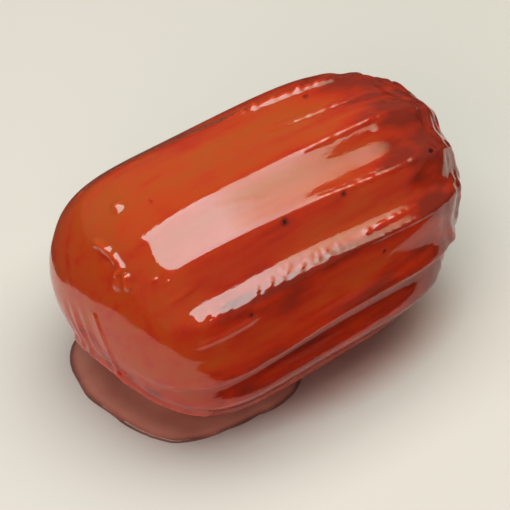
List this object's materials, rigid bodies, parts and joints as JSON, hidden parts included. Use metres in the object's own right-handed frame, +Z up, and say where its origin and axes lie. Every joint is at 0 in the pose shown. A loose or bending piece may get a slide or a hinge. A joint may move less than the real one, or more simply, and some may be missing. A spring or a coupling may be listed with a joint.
{
  "type": "tulumba",
  "caption": "Short bar of fried dough soaked in syrup, with piped ridges, hollow flutes, one smooth domed end and a slanted far end.",
  "frame": {"origin": "middle of the part's box, at the height of the flat spot on which the bar rests", "axes": "+Z up, +X along the bar from the smooth snipped end to the slanted far end"},
  "size_m": [0.0506, 0.0342, 0.0303],
  "materials": {
    "syrup_crust": "fried crust under a clear glossy film of syrup",
    "syrup": "thin clear glossy syrup"
  },
  "bodies": {
    "root": {"tulumba": "syrup_crust"}
  },
  "joints": []
}
